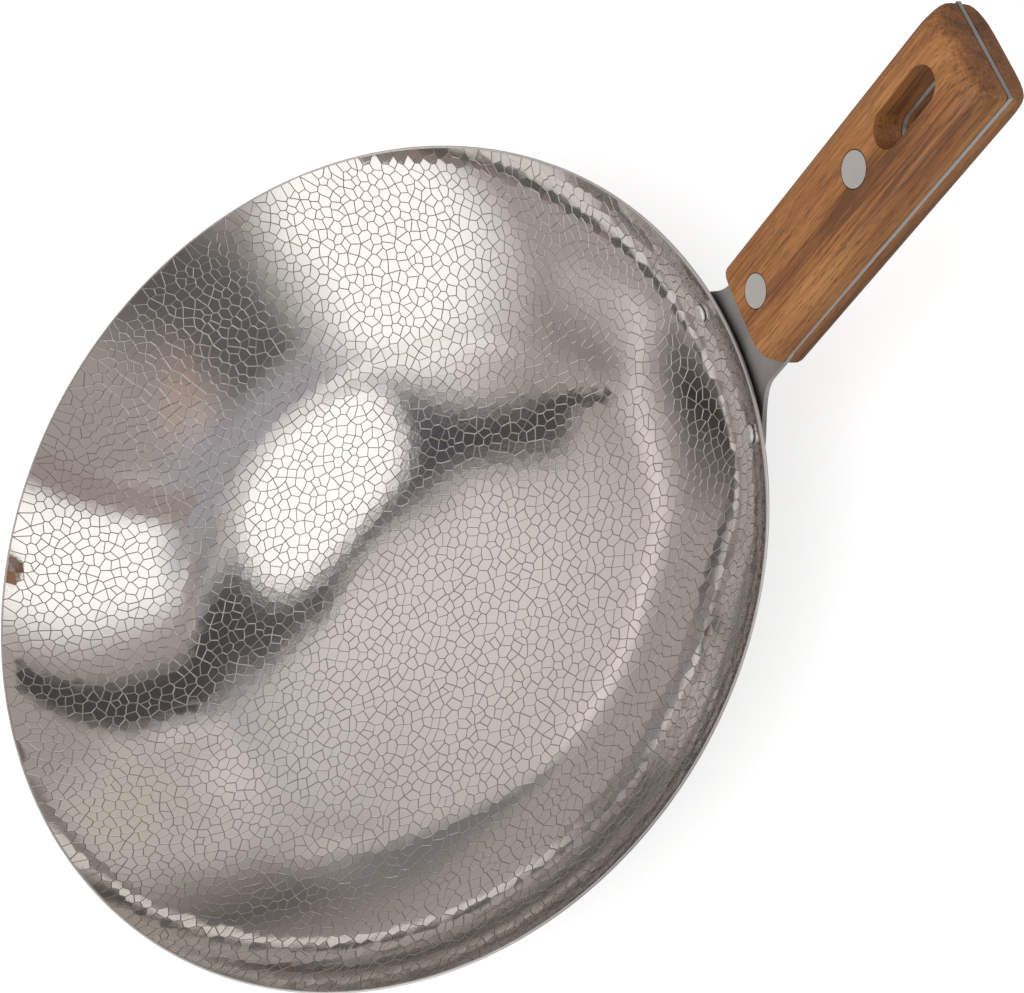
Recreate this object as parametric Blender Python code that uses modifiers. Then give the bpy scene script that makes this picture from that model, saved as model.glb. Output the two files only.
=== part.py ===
# Stainless steel frying pan with a full-tang wooden handle.
# The pan is a thin turned shell. One steel plate is both the handle's tang and the bracket:
# it bends down outside the rim into a curved flange, which two rivets hold to the wall.
# Two wooden scales lie on the tang, held by two cutler's rivets, each a barrel and a pin.
# Units are metres. The origin is the middle of the base's underside, +X points to the handle.

import bmesh
import bpy
from math import acos, asin, atan, atan2, cos, hypot, pi, radians, sin, sqrt, tan
from mathutils import Vector

# Pan shell
RIM_DIAMETER = 0.280
PAN_HEIGHT = 0.051
BASE_DIAMETER = 0.080
PAN_WALL = 0.0012
LOWER_WALL_ANGLE = radians(34.0)
RIM_WALL_ANGLE = radians(78.0)

# Steel plate: tang, neck, bend and flange
PLATE_THICKNESS = 0.0014
HANDLE_SLOPE = radians(40.3)
TANG_DROP = 0.0007
CREASE_OFFSET = 0.0068
NECK_LENGTH = 0.0077
NECK_WIDTH = 0.0346
WAIST_LENGTH = 0.0060
WOOD_OVERHANG_AT_PAN = 0.0004

# Rivets through the wall
WALL_RIVET_SPREAD = 0.0450
WALL_RIVET_DROP = 0.0140
WALL_RIVET_SHANK = 0.0040
WALL_RIVET_HEAD = 0.0059
WALL_RIVET_HEAD_HEIGHT = 0.0009
FORMED_HEAD_DIAMETER = 0.0062
FORMED_HEAD_HEIGHT = 0.0007
EAR_MARGIN = 0.0068
FLANGE_MARGIN = 0.0085

# Wooden scales
SCALE_LENGTH = 0.1095
SCALE_WIDTH_AT_PAN = 0.0344
SCALE_WIDTH_AT_END = 0.0322
UPPER_SCALE_THICKNESS = 0.0095
LOWER_SCALE_THICKNESS = 0.0090
UPPER_SHOULDER_WIDTH = 0.0075
LOWER_SHOULDER_WIDTH = 0.0100
SHOULDER_POWER = 2.5
SIDE_EDGE_THICKNESS = 0.0012
END_EDGE_THICKNESS = 0.0030
END_SHOULDER_LENGTH = 0.0085
END_CORNER_RADIUS = 0.0014
FRONT_CORNER_RADIUS = 0.0012
FRONT_EDGE_RADIUS = 0.0014
FRONT_FACE_LEAN = radians(10.5)
FRONT_LEAN_REACH = 0.0120

# Cutler's rivets through the handle
HANDLE_RIVET_HEAD = 0.0101
HANDLE_RIVET_HEAD_THICKNESS = 0.0022
BARREL_DIAMETER = 0.0066
BARREL_END_CLEARANCE = 0.0010
PIN_DIAMETER = 0.0042
FRONT_RIVET_FROM_FRONT = 0.0103
REAR_RIVET_FROM_FRONT = 0.0636

# Hanging slot through both scales and the tang
SLOT_END_MARGIN = 0.0087
SLOT_LENGTH = 0.0264
SLOT_WIDTH = 0.0111

# Clearances
JOINT_GAP = 0.0003
RIVET_SEAT_GAP = 0.0004
CUTTER_OVERRUN = 0.0020

# Facets
RIM_SEGMENTS = 96
WALL_ARC_STEPS = 7
RIM_EDGE_STEPS = 4
PLATE_COLUMNS = 14
RIVET_SEGMENTS = 24
SLOT_SEGMENTS = 28
SHOULDER_STEPS = 6
SMOOTH_ANGLE = radians(35.0)

# Values worked out from the driving dimensions
RIM_RADIUS = RIM_DIAMETER / 2
BASE_RADIUS = BASE_DIAMETER / 2
CREASE_RADIUS = RIM_RADIUS + CREASE_OFFSET
WOOD_START_X = CREASE_RADIUS + NECK_LENGTH * cos(HANDLE_SLOPE)
SLOT_CENTRE = SCALE_LENGTH - SLOT_END_MARGIN - SLOT_LENGTH / 2
FLANGE_WIDTH = WALL_RIVET_SPREAD + 2 * EAR_MARGIN


def clear_scene():
    for old in list(bpy.data.objects):
        bpy.data.objects.remove(old, do_unlink=True)


def new_collection(name):
    collection = bpy.data.collections.new(name)
    bpy.context.scene.collection.children.link(collection)
    return collection


clear_scene()
PARTS = new_collection("frying_pan")
CUTTERS = new_collection("cutters")


def material(name, colour, metallic, roughness):
    made = bpy.data.materials.new(name)
    made.use_nodes = True
    shader = made.node_tree.nodes["Principled BSDF"]
    shader.inputs["Base Color"].default_value = (*colour, 1.0)
    shader.inputs["Metallic"].default_value = metallic
    shader.inputs["Roughness"].default_value = roughness
    return made


PAN_STEEL = material("pan_steel", (0.60, 0.57, 0.54), 1.0, 0.16)
PLATE_STEEL = material("plate_steel", (0.42, 0.41, 0.40), 1.0, 0.32)
RIVET_STEEL = material("rivet_steel", (0.66, 0.66, 0.65), 1.0, 0.38)
WOOD = material("wood", (0.33, 0.16, 0.07), 0.0, 0.50)


def new_object(name, mesh, finish, parent=None):
    made = bpy.data.objects.new(name, mesh)
    mesh.materials.append(finish)
    PARTS.objects.link(made)
    made.parent = parent
    return made


def settle(made):
    # Keeps the result of the modifiers as the object's own mesh, smooth with crisp corners.
    bpy.context.view_layer.update()
    graph = bpy.context.evaluated_depsgraph_get()
    mesh = bpy.data.meshes.new_from_object(made.evaluated_get(graph))
    made.modifiers.clear()
    made.data = mesh
    mesh.shade_smooth()
    mesh.set_sharp_from_angle(angle=SMOOTH_ANGLE)


def turned(name, profile, finish, segments, parent=None):
    # The profile starts and ends on the axis and runs down the outer side.
    mesh = bpy.data.meshes.new(name)
    edges = [(i, i + 1) for i in range(len(profile) - 1)]
    mesh.from_pydata([(r, 0.0, z) for r, z in profile], edges, [])
    made = new_object(name, mesh, finish, parent)
    screw = made.modifiers.new("turn", "SCREW")
    screw.steps = segments
    screw.render_steps = segments
    screw.use_merge_vertices = True
    screw.merge_threshold = 0.00001
    return made


def cut(made, cutter):
    boolean = made.modifiers.new(cutter.name, "BOOLEAN")
    boolean.operation = "DIFFERENCE"
    boolean.solver = "EXACT"
    boolean.object = cutter


def round_cutter(name, diameter, low, high, segments, stretch=0.0, parent=None):
    # A cylinder between two heights, pulled apart along X by the stretch to make a slot.
    bm = bmesh.new()
    bmesh.ops.create_cone(bm, cap_ends=True, segments=segments, radius1=diameter / 2,
                          radius2=diameter / 2, depth=high - low)
    half_turn = pi / segments
    for vert in bm.verts:
        x, y = vert.co.x, vert.co.y
        vert.co.x = x * cos(half_turn) - y * sin(half_turn)
        vert.co.y = x * sin(half_turn) + y * cos(half_turn)
        vert.co.x += stretch / 2 if vert.co.x > 0 else -stretch / 2
        vert.co.z += (high + low) / 2
    mesh = bpy.data.meshes.new(name)
    bm.to_mesh(mesh)
    bm.free()
    cutter = bpy.data.objects.new(name, mesh)
    CUTTERS.objects.link(cutter)
    cutter.parent = parent
    cutter.hide_render = True
    cutter.display_type = "WIRE"
    return cutter


# The wall's outer side is two arcs: a wide one that leaves the flat base, and a tighter one
# that meets the rim. Their radii follow from the rim, the base, the height and two angles.

def solve_wall_radii():
    run = RIM_RADIUS - BASE_RADIUS
    a = sin(LOWER_WALL_ANGLE)
    b = sin(RIM_WALL_ANGLE) - sin(LOWER_WALL_ANGLE)
    c = 1 - cos(LOWER_WALL_ANGLE)
    d = cos(LOWER_WALL_ANGLE) - cos(RIM_WALL_ANGLE)
    size = a * d - b * c
    return (run * d - b * PAN_HEIGHT) / size, (a * PAN_HEIGHT - c * run) / size


LOWER_ARC_RADIUS, UPPER_ARC_RADIUS = solve_wall_radii()
UPPER_ARC_X = RIM_RADIUS - UPPER_ARC_RADIUS * sin(RIM_WALL_ANGLE)
UPPER_ARC_Z = PAN_HEIGHT + UPPER_ARC_RADIUS * cos(RIM_WALL_ANGLE)


def wall_point(angle, outset):
    # The point of the wall where it leans at the angle, set out from the outer side.
    if angle > LOWER_WALL_ANGLE:
        reach = UPPER_ARC_RADIUS + outset
        return UPPER_ARC_X + reach * sin(angle), UPPER_ARC_Z - reach * cos(angle)
    reach = LOWER_ARC_RADIUS + outset
    return BASE_RADIUS + reach * sin(angle), LOWER_ARC_RADIUS - reach * cos(angle)


def wall_angle_below_rim(drop):
    upper = (UPPER_ARC_Z - PAN_HEIGHT + drop) / UPPER_ARC_RADIUS
    if upper < cos(LOWER_WALL_ANGLE):
        return acos(upper)
    return acos(1 - (PAN_HEIGHT - drop) / LOWER_ARC_RADIUS)


def wall_angle_after(start, length, outset):
    # The angle reached by going down the wall for a length from where it leans at the start.
    upper_length = (start - LOWER_WALL_ANGLE) * (UPPER_ARC_RADIUS + outset)
    if length < upper_length:
        return start - length / (UPPER_ARC_RADIUS + outset)
    return LOWER_WALL_ANGLE - (length - upper_length) / (LOWER_ARC_RADIUS + outset)


def wall_length_between(start, end, outset):
    upper = (start - max(end, LOWER_WALL_ANGLE)) * (UPPER_ARC_RADIUS + outset)
    lower = max(LOWER_WALL_ANGLE - end, 0.0) * (LOWER_ARC_RADIUS + outset)
    return upper + lower


def steps(start, end, count):
    return [start + (end - start) * i / count for i in range(count + 1)]


def pan_profile():
    # Up the inner side from the axis, over the rounded rim, and down the outer side.
    inner_rim_angle = acos((UPPER_ARC_Z - PAN_HEIGHT) / (UPPER_ARC_RADIUS - PAN_WALL))
    edge = PAN_WALL / 2
    inner = [wall_point(a, -PAN_WALL) for a in steps(0.0, LOWER_WALL_ANGLE, WALL_ARC_STEPS)]
    inner += [wall_point(a, -PAN_WALL)
              for a in steps(LOWER_WALL_ANGLE, inner_rim_angle, WALL_ARC_STEPS)[1:-1]]
    outer = [wall_point(a, 0.0)
             for a in steps(RIM_WALL_ANGLE, LOWER_WALL_ANGLE, WALL_ARC_STEPS)[1:]]
    outer += [wall_point(a, 0.0) for a in steps(LOWER_WALL_ANGLE, 0.0, WALL_ARC_STEPS)[1:]]
    rim = []
    for turn in steps(pi, 0.0, RIM_EDGE_STEPS):
        rim.append((RIM_RADIUS - edge + edge * cos(turn), PAN_HEIGHT - edge + edge * sin(turn)))
    return [(0.0, PAN_WALL)] + inner + rim + outer + [(0.0, 0.0)]


def make_pan():
    pan = turned("pan_body", pan_profile(), PAN_STEEL, RIM_SEGMENTS)
    for cutter in WALL_RIVET_CUTTERS:
        cut(pan, cutter)
    return pan


# Where the wall rivets sit: on the wall, at the same height, to each side of the handle.

def wall_rivet_place(side):
    angle = wall_angle_below_rim(WALL_RIVET_DROP)
    r, z = wall_point(angle, -PAN_WALL)
    turn = side * asin(WALL_RIVET_SPREAD / 2 / r)
    place = Vector((r * cos(turn), r * sin(turn), z))
    outwards = Vector((sin(angle) * cos(turn), sin(angle) * sin(turn), -cos(angle)))
    return place, outwards.to_track_quat("Z", "Y")


def set_place(made, side):
    made.rotation_mode = "QUATERNION"
    made.location, made.rotation_quaternion = wall_rivet_place(side)


WALL_RIVET_STACK = PAN_WALL + JOINT_GAP + PLATE_THICKNESS


def wall_rivet_cutter(side, name):
    low = -CUTTER_OVERRUN
    high = WALL_RIVET_STACK + CUTTER_OVERRUN
    diameter = WALL_RIVET_SHANK + 2 * JOINT_GAP
    cutter = round_cutter(name, diameter, low, high, RIVET_SEGMENTS)
    set_place(cutter, side)
    return cutter


WALL_RIVET_CUTTERS = [wall_rivet_cutter(1, "left_wall_hole"), wall_rivet_cutter(-1, "right_wall_hole")]


def dome(radius, base, height, count):
    # A low head's side, from its top on the axis down to its edge.
    points = []
    for turn in steps(0.0, pi / 2, count):
        points.append((radius * sin(turn) ** 0.5, base + height * cos(turn)))
    return points


def make_wall_rivet(name, side):
    # The low head is inside the pan, and the head formed by riveting is outside on the flange.
    shank = WALL_RIVET_SHANK / 2
    outer_seat = WALL_RIVET_STACK + RIVET_SEAT_GAP
    formed = dome(FORMED_HEAD_DIAMETER / 2, outer_seat, FORMED_HEAD_HEIGHT, 5)
    low_head = dome(WALL_RIVET_HEAD / 2, 0.0, WALL_RIVET_HEAD_HEIGHT, 4)
    low_head = [(r, -RIVET_SEAT_GAP - z) for r, z in reversed(low_head)]
    profile = formed + [(shank, outer_seat), (shank, -RIVET_SEAT_GAP)] + low_head
    rivet = turned(name, profile, RIVET_STEEL, RIVET_SEGMENTS)
    set_place(rivet, side)
    return rivet


# The steel plate. Distances along it are measured from the crease, where it starts to bend:
# positive up the tang, negative down the bend and the flange.

def tang_height(x):
    return PAN_HEIGHT - TANG_DROP + (x - RIM_RADIUS) * tan(HANDLE_SLOPE)


def bend_at(turn):
    # The bend in the upright plane through the axis at the angle round the pan: it leaves the
    # tang at the crease and runs smoothly on to the wall.
    reach = UPPER_ARC_RADIUS + JOINT_GAP
    tang_angle = atan(tan(HANDLE_SLOPE) * cos(turn))
    crease_z = tang_height(CREASE_RADIUS * cos(turn))
    out = CREASE_RADIUS - UPPER_ARC_X
    up = crease_z - UPPER_ARC_Z
    lean = out * sin(tang_angle) - up * cos(tang_angle)
    radius = (out ** 2 + up ** 2 - reach ** 2) / (2 * (reach - lean))
    centre_r = CREASE_RADIUS + radius * sin(tang_angle)
    centre_z = crease_z - radius * cos(tang_angle)
    landing = atan2(centre_r - UPPER_ARC_X, UPPER_ARC_Z - centre_z)
    return radius, centre_r, centre_z, tang_angle, landing


def below_crease(turn, distance):
    # The radius and height of the plate's upper face at a distance down from the crease.
    radius, centre_r, centre_z, tang_angle, landing = bend_at(turn)
    bend_length = radius * (landing - tang_angle)
    if distance < bend_length:
        angle = tang_angle + distance / radius
        return centre_r - radius * sin(angle), centre_z + radius * cos(angle)
    angle = wall_angle_after(landing, distance - bend_length, JOINT_GAP)
    return wall_point(angle, JOINT_GAP)


def rivet_line():
    # How far down the plate the wall rivets are.
    radius, _, _, tang_angle, landing = bend_at(0.0)
    rivet_angle = wall_angle_below_rim(WALL_RIVET_DROP)
    return radius * (landing - tang_angle) + wall_length_between(landing, rivet_angle, JOINT_GAP)


FLANGE_END = rivet_line() + FLANGE_MARGIN


def ease(t):
    t = min(max(t, 0.0), 1.0)
    return t * t * (3 - 2 * t)


def scale_half_width(from_front):
    share = from_front / SCALE_LENGTH
    return (SCALE_WIDTH_AT_PAN + (SCALE_WIDTH_AT_END - SCALE_WIDTH_AT_PAN) * share) / 2


def tang_half_width(from_front):
    # The wood stands out over the tang's edges near the pan and is flush with them at the end.
    return scale_half_width(from_front) - WOOD_OVERHANG_AT_PAN * (1 - from_front / SCALE_LENGTH)


def plate_half_width(along):
    neck = NECK_WIDTH / 2
    if along > 0:
        waist_start = NECK_LENGTH - WAIST_LENGTH / 3
        share = ease((along - waist_start) / WAIST_LENGTH)
        return neck + (tang_half_width(along - NECK_LENGTH) - neck) * share
    flare = ease(-along / rivet_line())
    width = neck + (FLANGE_WIDTH / 2 - neck) * flare
    into_corner = -along - (FLANGE_END - FLANGE_MARGIN)
    if into_corner > 0:
        width -= FLANGE_MARGIN - sqrt(max(FLANGE_MARGIN ** 2 - into_corner ** 2, 0.0))
    return width


def plate_point(along, y):
    if along >= 0:
        # Still in the tang's plane. The rows of points curve gradually into the crease.
        middle_x = CREASE_RADIUS + along * cos(HANDLE_SLOPE)
        curved = max(1 - along / NECK_LENGTH, 0.0)
        x = middle_x - curved * (middle_x - sqrt(middle_x ** 2 - y ** 2))
        return x, y, tang_height(x)
    middle_r, _ = below_crease(0.0, -along)
    turn = asin(y / middle_r)
    r, z = below_crease(turn, -along)
    return r * cos(turn), r * sin(turn), z


def plate_stations():
    # Rows across the plate, close together where its edge or its face curves.
    tang_end = NECK_LENGTH + SCALE_LENGTH
    waist_end = NECK_LENGTH + WAIST_LENGTH
    corner_start = FLANGE_END - FLANGE_MARGIN
    rows = steps(tang_end, waist_end, 4)
    rows += steps(waist_end, 0.0, 8)[1:]
    rows += steps(0.0, -corner_start, 14)[1:]
    rows += [-corner_start - FLANGE_MARGIN * sin(t) for t in steps(0.0, pi / 2, 6)[1:]]
    return rows


def make_plate():
    rows = plate_stations()
    bm = bmesh.new()
    bmesh.ops.create_grid(bm, x_segments=len(rows) - 1, y_segments=PLATE_COLUMNS, size=0.5)
    for vert in bm.verts:
        along = rows[round((0.5 - vert.co.x) * (len(rows) - 1))]
        vert.co = plate_point(along, 2 * vert.co.y * plate_half_width(along))
    mesh = bpy.data.meshes.new("handle_plate")
    bm.to_mesh(mesh)
    bm.free()
    plate = new_object("handle_plate", mesh, PLATE_STEEL)
    solidify = plate.modifiers.new("thickness", "SOLIDIFY")
    solidify.thickness = PLATE_THICKNESS
    solidify.offset = -1.0
    solidify.use_even_offset = True
    for cutter in WALL_RIVET_CUTTERS + [SLOT_CUTTER] + BARREL_CUTTERS:
        cut(plate, cutter)
    return plate


# The handle's own frame: its origin is where the wood starts on the tang's upper face, X runs
# up the tang and Z stands square to it.

HANDLE_FRAME = bpy.data.objects.new("handle_frame", None)
HANDLE_FRAME.location = (WOOD_START_X, 0.0, tang_height(WOOD_START_X))
HANDLE_FRAME.rotation_euler = (0.0, -HANDLE_SLOPE, 0.0)
PARTS.objects.link(HANDLE_FRAME)

HANDLE_TOP = JOINT_GAP + UPPER_SCALE_THICKNESS
HANDLE_UNDERSIDE = -PLATE_THICKNESS - JOINT_GAP - LOWER_SCALE_THICKNESS
RIVET_PLACES = {"front": FRONT_RIVET_FROM_FRONT, "rear": REAR_RIVET_FROM_FRONT}


def handle_cutter(name, from_front, diameter, low, high, segments, stretch=0.0):
    cutter = round_cutter(name, diameter, low, high, segments, stretch, HANDLE_FRAME)
    cutter.location.x = from_front
    return cutter


SLOT_CUTTER = handle_cutter("hanging_slot", SLOT_CENTRE, SLOT_WIDTH, HANDLE_UNDERSIDE - CUTTER_OVERRUN,
                            HANDLE_TOP + CUTTER_OVERRUN, SLOT_SEGMENTS, SLOT_LENGTH - SLOT_WIDTH)


def rivet_hole_cutters():
    # A barrel hole right through, and a counterbore in each scale for the head.
    holes = []
    bores = []
    deep = HANDLE_RIVET_HEAD_THICKNESS + JOINT_GAP
    for place, from_front in RIVET_PLACES.items():
        holes.append(handle_cutter(place + "_barrel_hole", from_front, BARREL_DIAMETER + 2 * JOINT_GAP,
                                   HANDLE_UNDERSIDE - CUTTER_OVERRUN, HANDLE_TOP + CUTTER_OVERRUN,
                                   RIVET_SEGMENTS))
        head = HANDLE_RIVET_HEAD + 2 * JOINT_GAP
        bores.append(handle_cutter(place + "_upper_bore", from_front, head, HANDLE_TOP - deep,
                                   HANDLE_TOP + CUTTER_OVERRUN, RIVET_SEGMENTS))
        bores.append(handle_cutter(place + "_lower_bore", from_front, head,
                                   HANDLE_UNDERSIDE - CUTTER_OVERRUN, HANDLE_UNDERSIDE + deep,
                                   RIVET_SEGMENTS))
    return holes, bores


BARREL_CUTTERS, HEAD_CUTTERS = rivet_hole_cutters()


def scale_height(from_front, thickness):
    # The height on the centre line: a small round at the front, a long one at the end.
    if from_front < FRONT_EDGE_RADIUS:
        into = FRONT_EDGE_RADIUS - from_front
        return thickness - FRONT_EDGE_RADIUS + sqrt(max(FRONT_EDGE_RADIUS ** 2 - into ** 2, 0.0))
    into = max(from_front - (SCALE_LENGTH - END_SHOULDER_LENGTH), 0.0) / END_SHOULDER_LENGTH
    full = thickness - END_EDGE_THICKNESS
    return END_EDGE_THICKNESS + full * max(1 - into ** SHOULDER_POWER, 0.0) ** (1 / SHOULDER_POWER)


def front_lean(from_front, height):
    # The front face is not square to the tang: the deeper it goes, the nearer it is to the pan.
    fade = max(1 - from_front / FRONT_LEAN_REACH, 0.0)
    return (HANDLE_TOP - height) * tan(FRONT_FACE_LEAN) * fade


def shoulder_curve(count):
    # A quarter of a rounded square, from the flat top to the side, as shares of its width and height.
    power = 2 / SHOULDER_POWER
    return [(sin(t) ** power, max(cos(t), 0.0) ** power) for t in steps(0.0, pi / 2, count)]


def scale_stations():
    front = FRONT_EDGE_RADIUS
    end = SCALE_LENGTH - END_SHOULDER_LENGTH
    rows = [front * (1 - cos(t)) for t in steps(0.0, pi / 2, 6)]
    rows += steps(front, end, 5)[1:]
    rows += [end + END_SHOULDER_LENGTH * out for out, _ in shoulder_curve(9)[1:]]
    return rows


def rounded_half_width(from_front):
    # The scale's half width, drawn in round its corners in plan.
    if from_front < SCALE_LENGTH / 2:
        radius, from_corner = FRONT_CORNER_RADIUS, from_front
    else:
        radius, from_corner = END_CORNER_RADIUS, SCALE_LENGTH - from_front
    into = max(radius - from_corner, 0.0)
    return scale_half_width(from_front) - radius + sqrt(max(radius ** 2 - into ** 2, 0.0))


def scale_section():
    # Across the scale: shares of the shoulder's width out from the flat, and of the height.
    shoulder = shoulder_curve(SHOULDER_STEPS)
    left = [(-1, out, up) for out, up in reversed(shoulder)]
    right = [(1, out, up) for out, up in shoulder]
    return left + right


def make_scale(name, side, thickness, shoulder):
    # A loft of like sections: flat on top, with shoulders rounded down to the tang's edges.
    rows = scale_stations()
    section = scale_section()
    bm = bmesh.new()
    bmesh.ops.create_grid(bm, x_segments=len(rows) - 1, y_segments=len(section) - 1, size=0.5)
    for vert in bm.verts:
        from_front = rows[round((vert.co.x + 0.5) * (len(rows) - 1))]
        hand, out, up = section[round((vert.co.y + 0.5) * (len(section) - 1))]
        flat = rounded_half_width(from_front) - shoulder
        rise = scale_height(from_front, thickness) - SIDE_EDGE_THICKNESS
        vert.co = (from_front, hand * (flat + shoulder * out), SIDE_EDGE_THICKNESS + rise * up)
    lifted = bmesh.ops.extrude_face_region(bm, geom=list(bm.faces), use_keep_orig=True)
    for item in lifted["geom"]:
        if isinstance(item, bmesh.types.BMVert):
            item.co.z = 0.0
    offset = JOINT_GAP if side > 0 else -PLATE_THICKNESS - JOINT_GAP
    for vert in bm.verts:
        vert.co.z = offset + side * vert.co.z
        vert.co.x -= front_lean(vert.co.x, vert.co.z)
    bmesh.ops.recalc_face_normals(bm, faces=list(bm.faces))
    mesh = bpy.data.meshes.new(name)
    bm.to_mesh(mesh)
    bm.free()
    scale = new_object(name, mesh, WOOD, HANDLE_FRAME)
    for cutter in BARREL_CUTTERS + HEAD_CUTTERS + [SLOT_CUTTER]:
        cut(scale, cutter)
    return scale


def make_rivet_barrel(place):
    # The upper half of a cutler's rivet: a flush head on a hollow barrel.
    head = HANDLE_RIVET_HEAD / 2
    barrel = BARREL_DIAMETER / 2
    bore = PIN_DIAMETER / 2 + JOINT_GAP
    under_head = HANDLE_TOP - HANDLE_RIVET_HEAD_THICKNESS
    end = HANDLE_UNDERSIDE + HANDLE_RIVET_HEAD_THICKNESS + BARREL_END_CLEARANCE
    profile = [(0.0, HANDLE_TOP), (head, HANDLE_TOP), (head, under_head), (barrel, under_head),
               (barrel, end), (bore, end), (bore, under_head), (0.0, under_head)]
    made = turned(place + "_rivet_barrel", profile, RIVET_STEEL, RIVET_SEGMENTS, HANDLE_FRAME)
    made.location.x = RIVET_PLACES[place]
    return made


def make_rivet_pin(place):
    # The lower half: a flush head on a pin that is driven into the barrel.
    head = HANDLE_RIVET_HEAD / 2
    pin = PIN_DIAMETER / 2
    over_head = HANDLE_UNDERSIDE + HANDLE_RIVET_HEAD_THICKNESS
    top = HANDLE_TOP - HANDLE_RIVET_HEAD_THICKNESS - BARREL_END_CLEARANCE
    profile = [(0.0, top), (pin, top), (pin, over_head), (head, over_head),
               (head, HANDLE_UNDERSIDE), (0.0, HANDLE_UNDERSIDE)]
    made = turned(place + "_rivet_pin", profile, RIVET_STEEL, RIVET_SEGMENTS, HANDLE_FRAME)
    made.location.x = RIVET_PLACES[place]
    return made


pieces = [make_pan(), make_plate()]
pieces.append(make_scale("upper_scale", 1, UPPER_SCALE_THICKNESS, UPPER_SHOULDER_WIDTH))
pieces.append(make_scale("lower_scale", -1, LOWER_SCALE_THICKNESS, LOWER_SHOULDER_WIDTH))
pieces += [make_wall_rivet("left_wall_rivet", 1), make_wall_rivet("right_wall_rivet", -1)]
for rivet_place in RIVET_PLACES:
    pieces += [make_rivet_barrel(rivet_place), make_rivet_pin(rivet_place)]
for piece in pieces:
    settle(piece)
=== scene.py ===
# Stainless steel frying pan with a riveted wooden handle: its looks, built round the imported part.

from bisect import bisect_left
from math import acos, atan2, cos, hypot, pi, radians, sin, sqrt, tan
from random import Random

import bmesh
import bpy
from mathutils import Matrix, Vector
from mathutils.geometry import delaunay_2d_cdt


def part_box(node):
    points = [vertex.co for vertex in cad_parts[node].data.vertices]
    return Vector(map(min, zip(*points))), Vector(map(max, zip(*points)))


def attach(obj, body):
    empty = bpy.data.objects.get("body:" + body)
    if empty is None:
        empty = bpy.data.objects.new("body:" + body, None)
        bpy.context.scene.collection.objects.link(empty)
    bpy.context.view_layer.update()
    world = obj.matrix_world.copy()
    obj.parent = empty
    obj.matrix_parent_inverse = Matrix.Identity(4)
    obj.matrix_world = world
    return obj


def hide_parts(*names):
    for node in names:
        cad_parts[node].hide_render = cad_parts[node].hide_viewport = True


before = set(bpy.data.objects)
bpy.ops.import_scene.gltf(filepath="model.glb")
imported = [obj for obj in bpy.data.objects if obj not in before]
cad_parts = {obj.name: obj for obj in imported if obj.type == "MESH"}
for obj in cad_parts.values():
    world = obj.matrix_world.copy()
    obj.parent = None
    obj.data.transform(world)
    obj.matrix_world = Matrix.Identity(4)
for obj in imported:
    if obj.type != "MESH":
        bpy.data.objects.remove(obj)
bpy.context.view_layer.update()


# The pan shell. Stainless steel sheet, pressed into a flared bowl on a small flat base, with a crackle
# of low cells all over its inner face. The wall is steep under the handle's flange and opens more away
# from it, the floor is a little bowed, and the rim is a plain cut edge, just rounded.

SHEET = 0.0012
BASE_RADIUS = 0.040
LOWER_WALL_ANGLE = radians(34.0)
FLOOR_BOW_RADIUS = 0.450
FLOOR_BLEND = 0.0010

# The wall's lean at the rim by the handle and away from it. Away from it the sheet thins towards the
# rim, and the reach makes up for the thinner lip, so that the rim stays as wide.
HANDLE_RIM_ANGLE = radians(78.0)
OPEN_RIM_ANGLE = radians(63.0)
OPEN_RIM_SHEET = 0.0008
OPEN_RIM_REACH = 0.00026
FLANGE_HALF_TURN = radians(13.0)
OPENING_TURN = radians(22.0)

CURVE_STEPS = 1500
LIP_STEPS = 10
OUTER_STEPS = 12

# The crackle. The clearance and the mirrored band are counted in cells, the row's step is a share.
CELL = 0.0040
CELL_JITTER = 0.0017
CELL_SEED = 28
ROW_STEP = 0.866
RIM_CLEARANCE = 0.40
MIRRORED_BAND = 3
SHORTEST_SIDE = 0.00070
GROOVE_HALF_WIDTH = 0.00020
GROOVE_DEPTH = 0.00010
CREASE_ANGLE = radians(19.0)
SORTING_POINT = (0.31, 0.17, 0.23)

_, pan_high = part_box("pan_body")
RIM_RADIUS = pan_high.x
PAN_HEIGHT = pan_high.z


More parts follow.
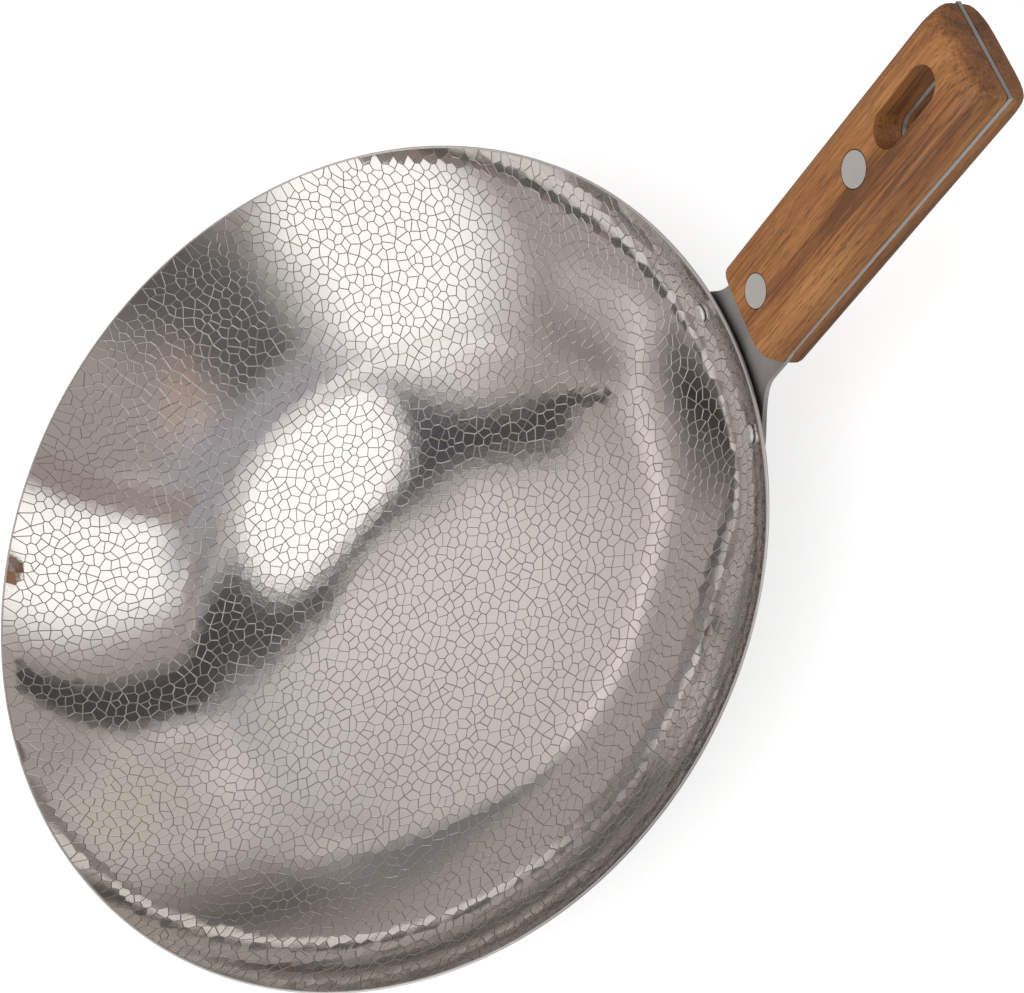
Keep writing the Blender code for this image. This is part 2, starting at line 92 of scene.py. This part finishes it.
class Wall:
    # An upright section of the shell: two arcs from the base to the rim, a bowed floor, a rounded lip.
    def __init__(self, rim_radius, rim_angle, rim_sheet):
        run = rim_radius - BASE_RADIUS
        a = sin(LOWER_WALL_ANGLE)
        b = sin(rim_angle) - a
        c = 1 - cos(LOWER_WALL_ANGLE)
        d = cos(LOWER_WALL_ANGLE) - cos(rim_angle)
        size = a * d - b * c
        self.lower_arc = (run * d - b * PAN_HEIGHT) / size
        self.upper_arc = (a * PAN_HEIGHT - c * run) / size
        self.upper_x = rim_radius - self.upper_arc * sin(rim_angle)
        self.upper_z = PAN_HEIGHT + self.upper_arc * cos(rim_angle)
        self.rim_sheet = rim_sheet
        self.lip_radius = rim_sheet / 2
        lip_drop = self.upper_z - PAN_HEIGHT + self.lip_radius
        self.lip_angle = acos(lip_drop / (self.upper_arc - self.lip_radius))
        inner_radius, _ = self.point(self.lip_angle, rim_sheet)
        self.curve = [(0.0, 0.0, self.inner_height(0.0))]
        for index in range(1, CURVE_STEPS + 1):
            radius = inner_radius * index / CURVE_STEPS
            height = self.inner_height(radius)
            length, last_radius, last_height = self.curve[-1]
            length += hypot(radius - last_radius, height - last_height)
            self.curve.append((length, radius, height))
        self.lengths = [length for length, _, _ in self.curve]

    def point(self, angle, inset):
        # Radius and height where the wall leans at the angle, set in from the outer face.
        if angle > LOWER_WALL_ANGLE:
            reach = self.upper_arc - inset
            return self.upper_x + reach * sin(angle), self.upper_z - reach * cos(angle)
        reach = self.lower_arc - inset
        return BASE_RADIUS + reach * sin(angle), self.lower_arc - reach * cos(angle)

    def inner_height(self, radius):
        # The wall's inner face, and the floor's bow where that is higher, run into each other.
        outwards = max(radius - BASE_RADIUS, 0.0) / (RIM_RADIUS - BASE_RADIUS)
        sheet = SHEET + (self.rim_sheet - SHEET) * outwards ** 2
        lower_reach = self.lower_arc - sheet
        upper_reach = self.upper_arc - sheet
        if radius < BASE_RADIUS:
            wall = sheet
        elif radius < BASE_RADIUS + lower_reach * sin(LOWER_WALL_ANGLE):
            wall = self.lower_arc - sqrt(lower_reach ** 2 - (radius - BASE_RADIUS) ** 2)
        else:
            wall = self.upper_z - sqrt(upper_reach ** 2 - (radius - self.upper_x) ** 2)
        bow = SHEET + radius ** 2 / (2 * FLOOR_BOW_RADIUS)
        return (wall + bow + sqrt((wall - bow) ** 2 + FLOOR_BLEND ** 2)) / 2

    def inside(self, share, lift):
        # Radius and height at a share of the way from the middle to the lip, lifted off the face.
        along = share * self.lengths[-1]
        index = min(max(bisect_left(self.lengths, along), 1), CURVE_STEPS)
        length, radius, height = self.curve[index - 1]
        next_length, next_radius, next_height = self.curve[index]
        share = (along - length) / (next_length - length)
        lean = atan2(next_height - height, next_radius - radius)
        return (radius + share * (next_radius - radius) - sin(lean) * lift,
                height + share * (next_height - height) + cos(lean) * lift)

    def outside(self):
        # The points of the lip and the outer face, from the inner face's edge to the base's edge.
        points = []
        lip_x, lip_z = self.point(self.lip_angle, self.lip_radius)
        for index in range(1, LIP_STEPS + 1):
            turn = pi * (1 - index / LIP_STEPS)
            out, up = self.lip_radius * cos(turn), self.lip_radius * sin(turn)
            points.append((lip_x + out * sin(self.lip_angle) + up * cos(self.lip_angle),
                           lip_z - out * cos(self.lip_angle) + up * sin(self.lip_angle)))
        for start, end in ((self.lip_angle, LOWER_WALL_ANGLE), (LOWER_WALL_ANGLE, 0.0)):
            for index in range(1, OUTER_STEPS + 1):
                points.append(self.point(start + (end - start) * index / OUTER_STEPS, 0.0))
        return points


handle_wall = Wall(RIM_RADIUS, HANDLE_RIM_ANGLE, SHEET)
open_wall = Wall(RIM_RADIUS + OPEN_RIM_REACH, OPEN_RIM_ANGLE, OPEN_RIM_SHEET)
FACE_REACH = handle_wall.lengths[-1]


def bowl_point(direction, handle_place, open_place):
    # The two walls run into each other on both sides of the handle's flange.
    off_handle = abs(atan2(direction.y, direction.x))
    turned = min(max((off_handle - FLANGE_HALF_TURN) / OPENING_TURN, 0.0), 1.0)
    share = turned * turned * (3 - 2 * turned)
    radius, height = (a + share * (b - a) for a, b in zip(handle_place, open_place))
    return Vector((direction.x * radius, direction.y * radius, height))


def onto_bowl(flat):
    # Lays a point of the flat sheet onto the bowl.
    direction = flat.xy.normalized() if flat.xy.length > 0 else Vector((1.0, 0.0))
    share = flat.xy.length / FACE_REACH
    handle_place = handle_wall.inside(share, flat.z)
    return bowl_point(direction, handle_place, open_wall.inside(share, flat.z))


def crackle_cells():
    # The cells of scattered seeds: each cell's corners are the middles of the seed's triangles. Seeds
    # near the rim are mirrored across it, so that the outermost cells end on the rim.
    scatter = Random(CELL_SEED)
    seeds = []
    rows = int(FACE_REACH / CELL / ROW_STEP) + 1
    columns = int(FACE_REACH / CELL) + 1
    for row in range(-rows, rows + 1):
        for column in range(-columns, columns + 1):
            turn = scatter.uniform(0.0, 2 * pi)
            shift = CELL_JITTER * sqrt(scatter.random())
            seed = Vector(((column + 0.5 * (row % 2)) * CELL, row * CELL * ROW_STEP))
            seed += Vector((cos(turn), sin(turn))) * shift
            if seed.length < FACE_REACH - RIM_CLEARANCE * CELL:
                seeds.append(seed)
    inside = len(seeds)
    for seed in seeds[:inside]:
        if seed.length > FACE_REACH - MIRRORED_BAND * CELL:
            seeds.append(seed * (2 * FACE_REACH / seed.length - 1))
    _, _, triangles, *_ = delaunay_2d_cdt(seeds, [], [], 0, 1e-7)
    corners = []
    around = [[] for _ in seeds]
    for triangle in triangles:
        a, b, c = (seeds[i] for i in triangle)
        ab, ac = b - a, c - a
        double_area = 2 * ab.cross(ac)
        middle = a + Vector((ac.y * ab.length_squared - ab.y * ac.length_squared,
                             ab.x * ac.length_squared - ac.x * ab.length_squared)) / double_area
        if min(triangle) < inside <= max(triangle):
            middle = middle.normalized() * FACE_REACH
        for seed_index in triangle:
            around[seed_index].append(len(corners))
        corners.append(middle)
    cells = []
    for seed, cell in zip(seeds[:inside], around):
        cell.sort(key=lambda i: atan2(corners[i].y - seed.y, corners[i].x - seed.x))
        cells.append(cell)
    return corners, cells


def merge_near_corners(mesh):
    # Corners that nearly meet become one, so that no side is too short for its groove.
    bm = bmesh.new()
    bm.from_mesh(mesh)
    bmesh.ops.remove_doubles(bm, verts=bm.verts, dist=SHORTEST_SIDE)
    bm.to_mesh(mesh)
    bm.free()


def select_only(piece):
    bpy.ops.object.select_all(action="DESELECT")
    piece.select_set(True)
    bpy.context.view_layer.objects.active = piece


corners, cells = crackle_cells()
pan_mesh = bpy.data.meshes.new("crackled_pan")
pan_mesh.from_pydata([(corner.x, corner.y, 0.0) for corner in corners], [], cells)
merge_near_corners(pan_mesh)
pan = bpy.data.objects.new("crackled_pan", pan_mesh)
bpy.context.scene.collection.objects.link(pan)
select_only(pan)
bpy.ops.object.mode_set(mode="EDIT")
bpy.ops.mesh.select_all(action="SELECT")
bpy.ops.mesh.delete_loose()
bpy.ops.mesh.select_mode(type="FACE")
bpy.ops.mesh.select_all(action="SELECT")
bpy.ops.mesh.inset(use_individual=True, thickness=GROOVE_HALF_WIDTH, depth=GROOVE_DEPTH)
bpy.ops.mesh.poke()
bpy.ops.object.mode_set(mode="OBJECT")

groove = pan_mesh.attributes.new("groove", "FLOAT", "POINT")
for vert in pan_mesh.vertices:
    groove.data[vert.index].value = 1.0 - vert.co.z / GROOVE_DEPTH
    vert.co = onto_bowl(vert.co - Vector((0.0, 0.0, GROOVE_DEPTH)))

select_only(pan)
bpy.ops.object.mode_set(mode="EDIT")
bpy.ops.mesh.select_mode(type="EDGE")
bpy.ops.mesh.select_all(action="DESELECT")
bpy.ops.mesh.select_non_manifold(extend=False)
bpy.ops.object.mode_set(mode="OBJECT")
inner_faces = len(pan_mesh.polygons)
for handle_place, open_place in zip(handle_wall.outside(), open_wall.outside()):
    bpy.ops.object.mode_set(mode="EDIT")
    bpy.ops.mesh.extrude_edges_move()
    bpy.ops.object.mode_set(mode="OBJECT")
    for vert in pan_mesh.vertices:
        if vert.select:
            vert.co = bowl_point(vert.co.xy.normalized(), handle_place, open_place)
bpy.ops.object.mode_set(mode="EDIT")
bpy.ops.mesh.extrude_edges_move()
bpy.ops.mesh.merge(type="CENTER")
bpy.ops.mesh.select_all(action="SELECT")
bpy.ops.mesh.normals_make_consistent(inside=False)
bpy.ops.object.mode_set(mode="OBJECT")
bpy.ops.object.shade_smooth_by_angle(angle=CREASE_ANGLE)


class Wire:
    # One output of a shader's nodes. Python's own operators on it add Math nodes.
    def __init__(self, nodes, socket):
        self.nodes = nodes
        self.socket = socket

    def maths(self, operation, *values):
        return self.nodes.add("ShaderNodeMath", {"operation": operation}, dict(enumerate(values)))

    def __add__(self, other):
        return self.maths("ADD", self, other)

    def __sub__(self, other):
        return self.maths("SUBTRACT", self, other)

    def __rsub__(self, other):
        return self.maths("SUBTRACT", other, self)

    def __mul__(self, other):
        return self.maths("MULTIPLY", self, other)

    def __truediv__(self, other):
        return self.maths("DIVIDE", self, other)

    def __rtruediv__(self, other):
        return self.maths("DIVIDE", other, self)

    def __pow__(self, other):
        return self.maths("POWER", self, other)

    def __rpow__(self, other):
        return self.maths("POWER", other, self)

    def __abs__(self):
        return self.maths("ABSOLUTE", self)

    __radd__ = __add__
    __rmul__ = __mul__


class Nodes:
    # The nodes of one material or of the world.
    def __init__(self, tree):
        self.tree = tree
        tree.nodes.clear()

    def add(self, kind, settings, sockets, output=0):
        node = self.tree.nodes.new(kind)
        for name, value in settings.items():
            if name == "stops":
                ramp = node.color_ramp
                while len(ramp.elements) < len(value):
                    ramp.elements.new(0.5)
                for element, (place, colour) in zip(ramp.elements, value):
                    element.position = place
                    element.color = colour
            else:
                setattr(node, name, value)
        for name, value in sockets.items():
            if isinstance(value, Wire):
                self.tree.links.new(value.socket, node.inputs[name])
            else:
                node.inputs[name].default_value = value
        return Wire(self, node.outputs[output]) if len(node.outputs) else None

    def smooth(self, value, start, end, low=0.0, high=1.0):
        sockets = {"Value": value, "From Min": start, "From Max": end, "To Min": low, "To Max": high}
        return self.add("ShaderNodeMapRange", {"interpolation_type": "SMOOTHSTEP"}, sockets)

    def mix(self, share, first, second, blend="MIX"):
        settings = {"data_type": "RGBA", "blend_type": blend}
        return self.add("ShaderNodeMix", settings, {0: share, 6: first, 7: second}, output=2)

    def noise(self, place, scale, detail=3.0, roughness=0.5):
        sockets = {"Vector": place, "Scale": scale, "Detail": detail, "Roughness": roughness}
        return self.add("ShaderNodeTexNoise", {}, sockets)

    def bump(self, height, distance, strength=0.5):
        sockets = {"Height": height, "Distance": distance, "Strength": strength}
        return self.add("ShaderNodeBump", {}, sockets)

    def axis(self, vector, name):
        return self.add("ShaderNodeSeparateXYZ", {}, {"Vector": vector}, output=name)

    def object_place(self):
        return self.add("ShaderNodeTexCoord", {}, {}, output="Object")

    def finish(self, sockets):
        shader = self.add("ShaderNodeBsdfPrincipled", {}, sockets)
        self.add("ShaderNodeOutputMaterial", {}, {"Surface": shader})


def new_finish(name):
    made = bpy.data.materials.new(name)
    made.use_nodes = True
    return made, Nodes(made.node_tree)


CRACKLE_STEEL = (0.66, 0.635, 0.61, 1.0)
# The grooves' darker colour is painted shade in the hollows between the cells; their higher roughness
# is the steel's own.
GROOVE_STEEL_WITH_PAINTED_SHADE = (0.40, 0.38, 0.365, 1.0)
GROOVE_EDGE = 0.40
CELL_ROUGHNESS = 0.04
GROOVE_ROUGHNESS = 0.36

crackle_steel, nodes = new_finish("crackle_steel")
place = nodes.object_place()
groove_depth = nodes.add("ShaderNodeAttribute", {"attribute_name": "groove"}, {}, output="Fac")
smudge = nodes.noise(place, scale=34.0)
fine = nodes.noise(place, scale=900.0, detail=2.0)
in_groove = nodes.smooth(groove_depth, 0.0, GROOVE_EDGE)
# In the grooves the colour darkens: painted shade in the hollows.
nodes.finish({"Base Color": nodes.mix(in_groove, CRACKLE_STEEL, GROOVE_STEEL_WITH_PAINTED_SHADE),
              "Metallic": 1.0,
              "Roughness": CELL_ROUGHNESS + smudge * 0.05 + in_groove * GROOVE_ROUGHNESS,
              "Normal": nodes.bump(fine, distance=0.00001)})

OUTER_STEEL = (0.62, 0.61, 0.60, 1.0)
OUTER_ROUGHNESS = 0.34

outer_steel, nodes = new_finish("outer_steel")
place = nodes.object_place()
height = nodes.axis(place, "Z")
spin_lines = nodes.add("ShaderNodeTexNoise", {"noise_dimensions": "1D"}, {"W": height, "Scale": 2600.0})
smudge = nodes.noise(place, scale=22.0)
nodes.finish({"Base Color": OUTER_STEEL,
              "Metallic": 1.0,
              "Roughness": OUTER_ROUGHNESS + smudge * 0.08 + spin_lines * 0.06,
              "Normal": nodes.bump(spin_lines, distance=0.00002, strength=0.4)})

pan_mesh.materials.append(crackle_steel)
pan_mesh.materials.append(outer_steel)
for face in pan_mesh.polygons:
    face.material_index = 0 if face.index < inner_faces else 1

# Extruding leaves the order of the new faces to chance, so all are sorted from a point off the axis.
bpy.context.scene.cursor.location = SORTING_POINT
bpy.ops.object.mode_set(mode="EDIT")
bpy.ops.mesh.select_all(action="SELECT")
bpy.ops.mesh.sort_elements(type="CURSOR_DISTANCE", elements={"VERT", "EDGE", "FACE"})
bpy.ops.object.mode_set(mode="OBJECT")
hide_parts("pan_body")
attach(pan, "root")


# The handle plate. One piece of smooth steel strip: the tang between the scales, its narrow neck, the
# bend beside the rim, and the flange that lies on the wall. Its faces are tumbled to a dark satin, and
# the paler colour on its sides is a painted highlight.

PLATE_STEEL = (0.46, 0.45, 0.44, 1.0)
PLATE_STEEL_DARK = (0.36, 0.355, 0.35, 1.0)
# The paler colour of the plate's sides is a painted highlight.
PLATE_SIDE_HIGHLIGHT = (0.66, 0.65, 0.64, 1.0)
PLATE_METALLIC = 0.85
PLATE_ROUGHNESS = 0.42


def give_finish(name, material):
    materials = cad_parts[name].data.materials
    materials.clear()
    materials.append(material)


plate_steel, nodes = new_finish("tumbled_steel")
place = nodes.object_place()
cloud = nodes.noise(place, scale=60.0)
grit = nodes.noise(place, scale=1500.0, detail=2.0)
facing = nodes.add("ShaderNodeNewGeometry", {}, {}, output="Normal")
sideways = abs(nodes.axis(facing, "Y"))
colour = nodes.mix(nodes.smooth(cloud, 0.35, 0.65), PLATE_STEEL_DARK, PLATE_STEEL)
# Faces that point sideways get the paler colour: a painted highlight on the plate's sides.
nodes.finish({"Base Color": nodes.mix(nodes.smooth(sideways, 0.75, 0.95), colour, PLATE_SIDE_HIGHLIGHT),
              "Metallic": PLATE_METALLIC,
              "Roughness": PLATE_ROUGHNESS + cloud * 0.12,
              "Normal": nodes.bump(grit, distance=0.00002)})
give_finish("handle_plate", plate_steel)


# The scales. Two slabs of warm brown hardwood, sawn with the grain along the handle, rounded over at
# their edges and oiled. They are clamped on the tang by the two handle rivets.

HANDLE_SLOPE = radians(40.3)
WOOD_LIGHT = (0.41, 0.187, 0.063, 1.0)
WOOD_MID = (0.30, 0.122, 0.038, 1.0)
WOOD_DARK = (0.135, 0.052, 0.018, 1.0)
WOOD_PORE = (0.075, 0.030, 0.013, 1.0)
WOOD_STOPS = [(0.40, WOOD_DARK), (0.49, WOOD_MID), (0.59, WOOD_LIGHT)]
WOOD_ROUGHNESS = 0.46
# The far end's slope is tinted darker: partly end grain, partly painted shade where that slope faces
# away from the light.
END_GRAIN_AND_SHADE_TINT = (0.56, 0.52, 0.48, 1.0)
END_SLOPE_START, END_SLOPE_END = 0.2630, 0.2665

RINGS = ((6.0, 90.0, 90.0), 4.0)
FIBRES = ((40.0, 1200.0, 1200.0), 2.0)
PORES = ((180.0, 2600.0, 2600.0), 1.0)

wood, nodes = new_finish("oiled_hardwood")
sockets = {"Vector": nodes.object_place(), "Rotation": (0.0, HANDLE_SLOPE, 0.0)}
along_grain = nodes.add("ShaderNodeMapping", {}, sockets)
wander = nodes.noise(along_grain, scale=22.0, detail=2.0)
layers = []
for scale, detail in (RINGS, FIBRES, PORES):
    stretched = nodes.add("ShaderNodeMapping", {}, {"Vector": along_grain, "Scale": scale})
    layers.append(nodes.noise(stretched, scale=1.0, detail=detail, roughness=0.6))
rings, fibres, pores = layers
tone = rings * 0.55 + fibres * 0.30 + wander * 0.15
grain = nodes.add("ShaderNodeValToRGB", {"stops": WOOD_STOPS}, {"Fac": tone})
in_pore = nodes.smooth(pores, 0.56, 0.68)
colour = nodes.mix(in_pore * 0.6, grain, WOOD_PORE)
# Darker over the far end's slope: end grain and painted shade.
at_end = nodes.smooth(nodes.axis(along_grain, "X"), END_SLOPE_START, END_SLOPE_END)
end_grain_and_shade_colour = nodes.mix(1.0, colour, END_GRAIN_AND_SHADE_TINT, blend="MULTIPLY")
nodes.finish({"Base Color": nodes.mix(at_end, colour, end_grain_and_shade_colour),
              "Roughness": WOOD_ROUGHNESS + rings * 0.15,
              "Normal": nodes.bump(fibres * 0.4 - in_pore, distance=0.00005)})
give_finish("upper_scale", wood)
give_finish("lower_scale", wood)


# The rivets. Two-part cutler's rivets hold the scales, flush with the wood, and two plain rivets with
# low heads hold the flange on the wall. All are pale steel, turned and lightly brushed.

RIVET_STEEL = (0.84, 0.83, 0.81, 1.0)
RIVET_ROUGHNESS = 0.46

rivet_steel, nodes = new_finish("pale_rivet_steel")
place = nodes.object_place()
cloud = nodes.noise(place, scale=260.0)
grit = nodes.noise(place, scale=2600.0, detail=2.0)
nodes.finish({"Base Color": RIVET_STEEL,
              "Metallic": 1.0,
              "Roughness": RIVET_ROUGHNESS + cloud * 0.10,
              "Normal": nodes.bump(grit, distance=0.00002)})
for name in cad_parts:
    if "rivet" in name:
        give_finish(name, rivet_steel)


# The studio: a plain white floor, a room that is known from what the steel shows of it, one large soft
# lamp that the steel doesn't show, and the camera.

ROOM = (0.49, 0.44, 0.42, 1.0)
CORNER_POWER = 2.5
NEAREST_DEPTH = 0.001

# Flat screens in the room, a later one in front of those before it: the azimuth and elevation of both
# ends of its middle line, half its height and how soft its outline is, in degrees, and its colour.
SCREENS = [
    ("far wall", (58.4, 28), (142.2, 55.4), 10.8, 7.1, (0.94, 0.89, 0.88)),
    ("near horizon", (71.4, 24.4), (39.1, 26.8), 23.9, 8.3, (0.68, 0.63, 0.59)),
    ("dark corner", (113.7, 50.3), (73, -4.5), 6.5, 20.9, (0.02, 0.02, 0.03)),
    ("left dark corner", (161.4, 15.5), (149.5, 20.5), 24.2, 8.8, (0.02, 0.02, 0.02)),
    ("pale strip", (175.3, 23.2), (90.8, 35.2), 0.6, 15.9, (1.58, 1.46, 1.43)),
    ("corner curtain", (122.9, 36.9), (98.3, 26), 7, 5.3, (0.25, 0.25, 0.25)),
    ("ceiling", (104.9, 70.5), (105.5, 68.2), 30.2, 7.6, (1.69, 1.65, 1.70)),
    ("ceiling patch", (108.1, 59.4), (-166.2, 92.5), 0.6, 10.5, (0.24, 0.29, 0.33)),
    ("left softbox", (193.2, 34.2), (256.4, 40.1), 50, 12.5, (1.54, 1.53, 1.50)),
    ("right softbox", (-19.1, -41.8), (36.6, 82.4), 15, 8.7, (1.53, 1.54, 1.50)),
    ("camera side", (287.3, 99.1), (267.7, 71.9), 18.2, 6.6, (0.47, 0.46, 0.50)),
    ("pink edge", (286.2, 69), (279.8, 31), 0.8, 12.6, (1.55, 1.03, 0.87)),
    ("dark door", (242.7, 73.3), (284.1, -28.7), 16.6, 12.8, (0.15, 0.15, 0.15)),
    ("dark post", (352.5, 81.2), (325.7, -18), 3.7, 1.9, (0.44, 0.37, 0.35)),
    ("dark beam", (136.3, 69.9), (144.5, 52.1), 1.6, 1.3, (0.07, 0.07, 0.07)),
    ("dark beam waist", (132.7, 64.3), (113, 66.2), 2.3, 1.3, (0.02, 0.02, 0.02)),
    ("dark beam left", (128.7, 65.7), (13.6, 8.7), 4.7, 2.5, (0.08, 0.08, 0.08)),
    ("lamp hood", (137.5, 59.2), (143.4, 71), 4.2, 1.7, (0.07, 0.07, 0.09)),
    ("dark edge", (139.3, 60.9), (122.5, 63.3), 0.9, 0.5, (0.05, 0.05, 0.05)),
    ("dark tip", (143.9, 55), (156.6, 41.2), 0.9, 0.6, (0.06, 0.06, 0.06)),
    ("small softbox", (127.8, 63.8), (145, 71.6), 5.4, 0.9, (1.58, 1.57, 1.57)),
]
ROUNDED_SCREENS = ("lamp hood", "small softbox")

FLOOR_SIZE = 6.0
FLOOR_PAPER = (0.40, 0.40, 0.40, 1.0)
FLOOR_GLOW = 0.72
WHITE = (1.0, 1.0, 1.0, 1.0)

LAMP_PLACE = Vector((-0.35, -0.55, 1.6))
LAMP_AIM = Vector((0.05, 0.0, 0.05))
LAMP_SIZE = 1.4
LAMP_POWER = 14.0

CAMERA_PLACE = (0.21169, -0.25200, 0.53494)
CAMERA_TURN = (18.392, 24.849, -18.911)
CAMERA_LENS = 63.75
CAMERA_SENSOR = 36.0


def toward(azimuth, elevation):
    # The direction at these degrees: azimuth from +X to +Y, elevation up from level.
    azimuth, elevation = radians(azimuth), radians(elevation)
    return Vector((cos(elevation) * cos(azimuth), cos(elevation) * sin(azimuth), sin(elevation)))


def screen(nodes, direction, start, end, half_height, blur, rounded):
    # The part of the room that a screen covers.
    start, end = toward(*start), toward(*end)
    middle = (start + end).normalized()
    across = (end - start).normalized()
    upwards = middle.cross(across)
    half_width = (end - start).length / 2 / ((start + end).length / 2)
    dots = []
    for axis in (middle, across, upwards):
        settings = {"operation": "DOT_PRODUCT"}
        sockets = {0: direction, 1: axis}
        dots.append(nodes.add("ShaderNodeVectorMath", settings, sockets, output="Value"))
    depth, right, up = dots
    depth = depth.maths("MAXIMUM", depth, NEAREST_DEPTH)
    half_height = tan(radians(half_height))
    blur = tan(radians(blur))
    right, up = abs(right) / depth, abs(up) / depth
    if rounded:
        reach = (right / half_width) ** CORNER_POWER + (up / half_height) ** CORNER_POWER
        reach = reach ** (1 / CORNER_POWER)
        return nodes.smooth(reach, 1.0 - blur / half_height, 1.0 + blur / half_height, 1.0, 0.0)
    inside = nodes.smooth(right, half_width - blur, half_width + blur, 1.0, 0.0)
    return inside * nodes.smooth(up, half_height - blur, half_height + blur, 1.0, 0.0)


def camera_sees(nodes):
    return nodes.add("ShaderNodeLightPath", {}, {}, output="Is Camera Ray")


world = bpy.data.worlds.new("studio")
bpy.context.scene.world = world
world.use_nodes = True
nodes = Nodes(world.node_tree)
direction = nodes.add("ShaderNodeTexCoord", {}, {}, output="Generated")
room = ROOM
for name, start, end, half_height, blur, colour in SCREENS:
    covered = screen(nodes, direction, start, end, half_height, blur, name in ROUNDED_SCREENS)
    room = nodes.mix(covered, room, (*colour, 1.0))
room_light = nodes.add("ShaderNodeBackground", {}, {"Color": room, "Strength": 1.0})
white = nodes.add("ShaderNodeBackground", {}, {"Color": WHITE, "Strength": 1.0})
shown = nodes.add("ShaderNodeMixShader", {}, {0: camera_sees(nodes), 1: room_light, 2: white})
nodes.add("ShaderNodeOutputWorld", {}, {"Surface": shown})

bpy.ops.object.select_all(action="DESELECT")
bpy.ops.mesh.primitive_plane_add(size=FLOOR_SIZE, location=(0.0, 0.0, 0.0))
floor = bpy.context.object
floor.name = "floor"
paper, nodes = new_finish("white_paper")
plain = nodes.add("ShaderNodeBsdfDiffuse", {}, {"Color": FLOOR_PAPER})
glow = nodes.add("ShaderNodeEmission", {}, {"Color": WHITE, "Strength": FLOOR_GLOW})
none = nodes.add("ShaderNodeEmission", {}, {"Strength": 0.0})
extra = nodes.add("ShaderNodeMixShader", {}, {0: camera_sees(nodes), 1: none, 2: glow})
both = nodes.add("ShaderNodeAddShader", {}, {0: plain, 1: extra})
nodes.add("ShaderNodeOutputMaterial", {}, {"Surface": both})
floor.data.materials.append(paper)

bpy.ops.object.light_add(type="AREA", location=LAMP_PLACE)
lamp = bpy.context.object
lamp.name = "soft_lamp"
lamp.data.shape = "DISK"
lamp.data.size = LAMP_SIZE
lamp.data.energy = LAMP_POWER
lamp.rotation_euler = (LAMP_AIM - lamp.location).to_track_quat("-Z", "Y").to_euler()
lamp.visible_glossy = False

bpy.ops.object.camera_add(location=CAMERA_PLACE)
camera = bpy.context.object
camera.rotation_euler = [radians(turn) for turn in CAMERA_TURN]
camera.data.lens = CAMERA_LENS
camera.data.sensor_width = CAMERA_SENSOR
bpy.context.scene.camera = camera
bpy.context.scene.view_settings.view_transform = "Standard"

bpy.context.view_layer.update()
